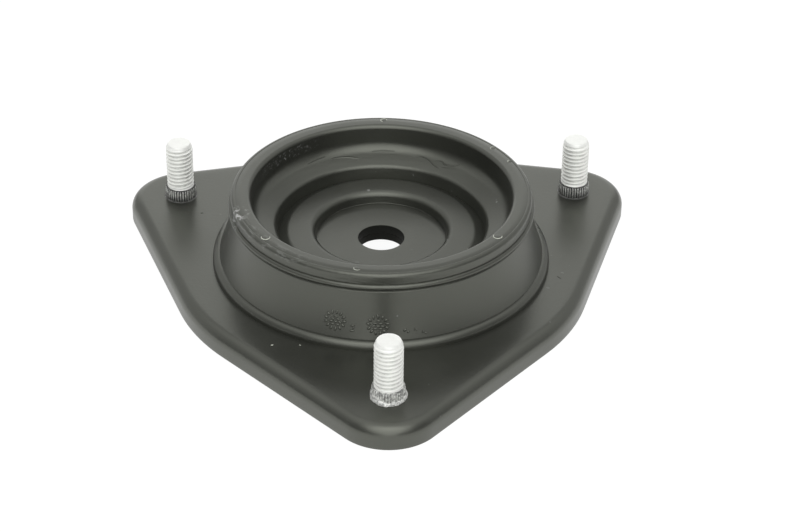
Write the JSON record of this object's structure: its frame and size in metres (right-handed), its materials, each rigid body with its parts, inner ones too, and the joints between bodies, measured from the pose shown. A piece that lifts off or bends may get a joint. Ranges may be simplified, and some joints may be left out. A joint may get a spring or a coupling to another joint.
{
  "type": "strut mount",
  "caption": "Strut top mount: eared steel plate with press-in studs and a bonded rubber ring that carries a steel seat with a hole for the damper rod.",
  "frame": {"origin": "centre of the stud circle, on the mounting plate's top face, which bolts up against the car body", "axes": "+Z along the damper rod's axis, up out of the bowl; one ear points along -Y"},
  "size_m": [0.1472, 0.1428, 0.0285],
  "materials": {
    "coated_steel": "black dip coat, satin",
    "rubber": "moulded black rubber, satin",
    "seat_steel": "black coat, satin",
    "zinc": "bright zinc plate"
  },
  "bodies": {
    "root": {"mounting_plate": "coated_steel", "rubber_body": "rubber", "upper_seat_plate": "seat_steel", "lower_seat_cup": "seat_steel", "studs": "zinc"}
  },
  "joints": []
}
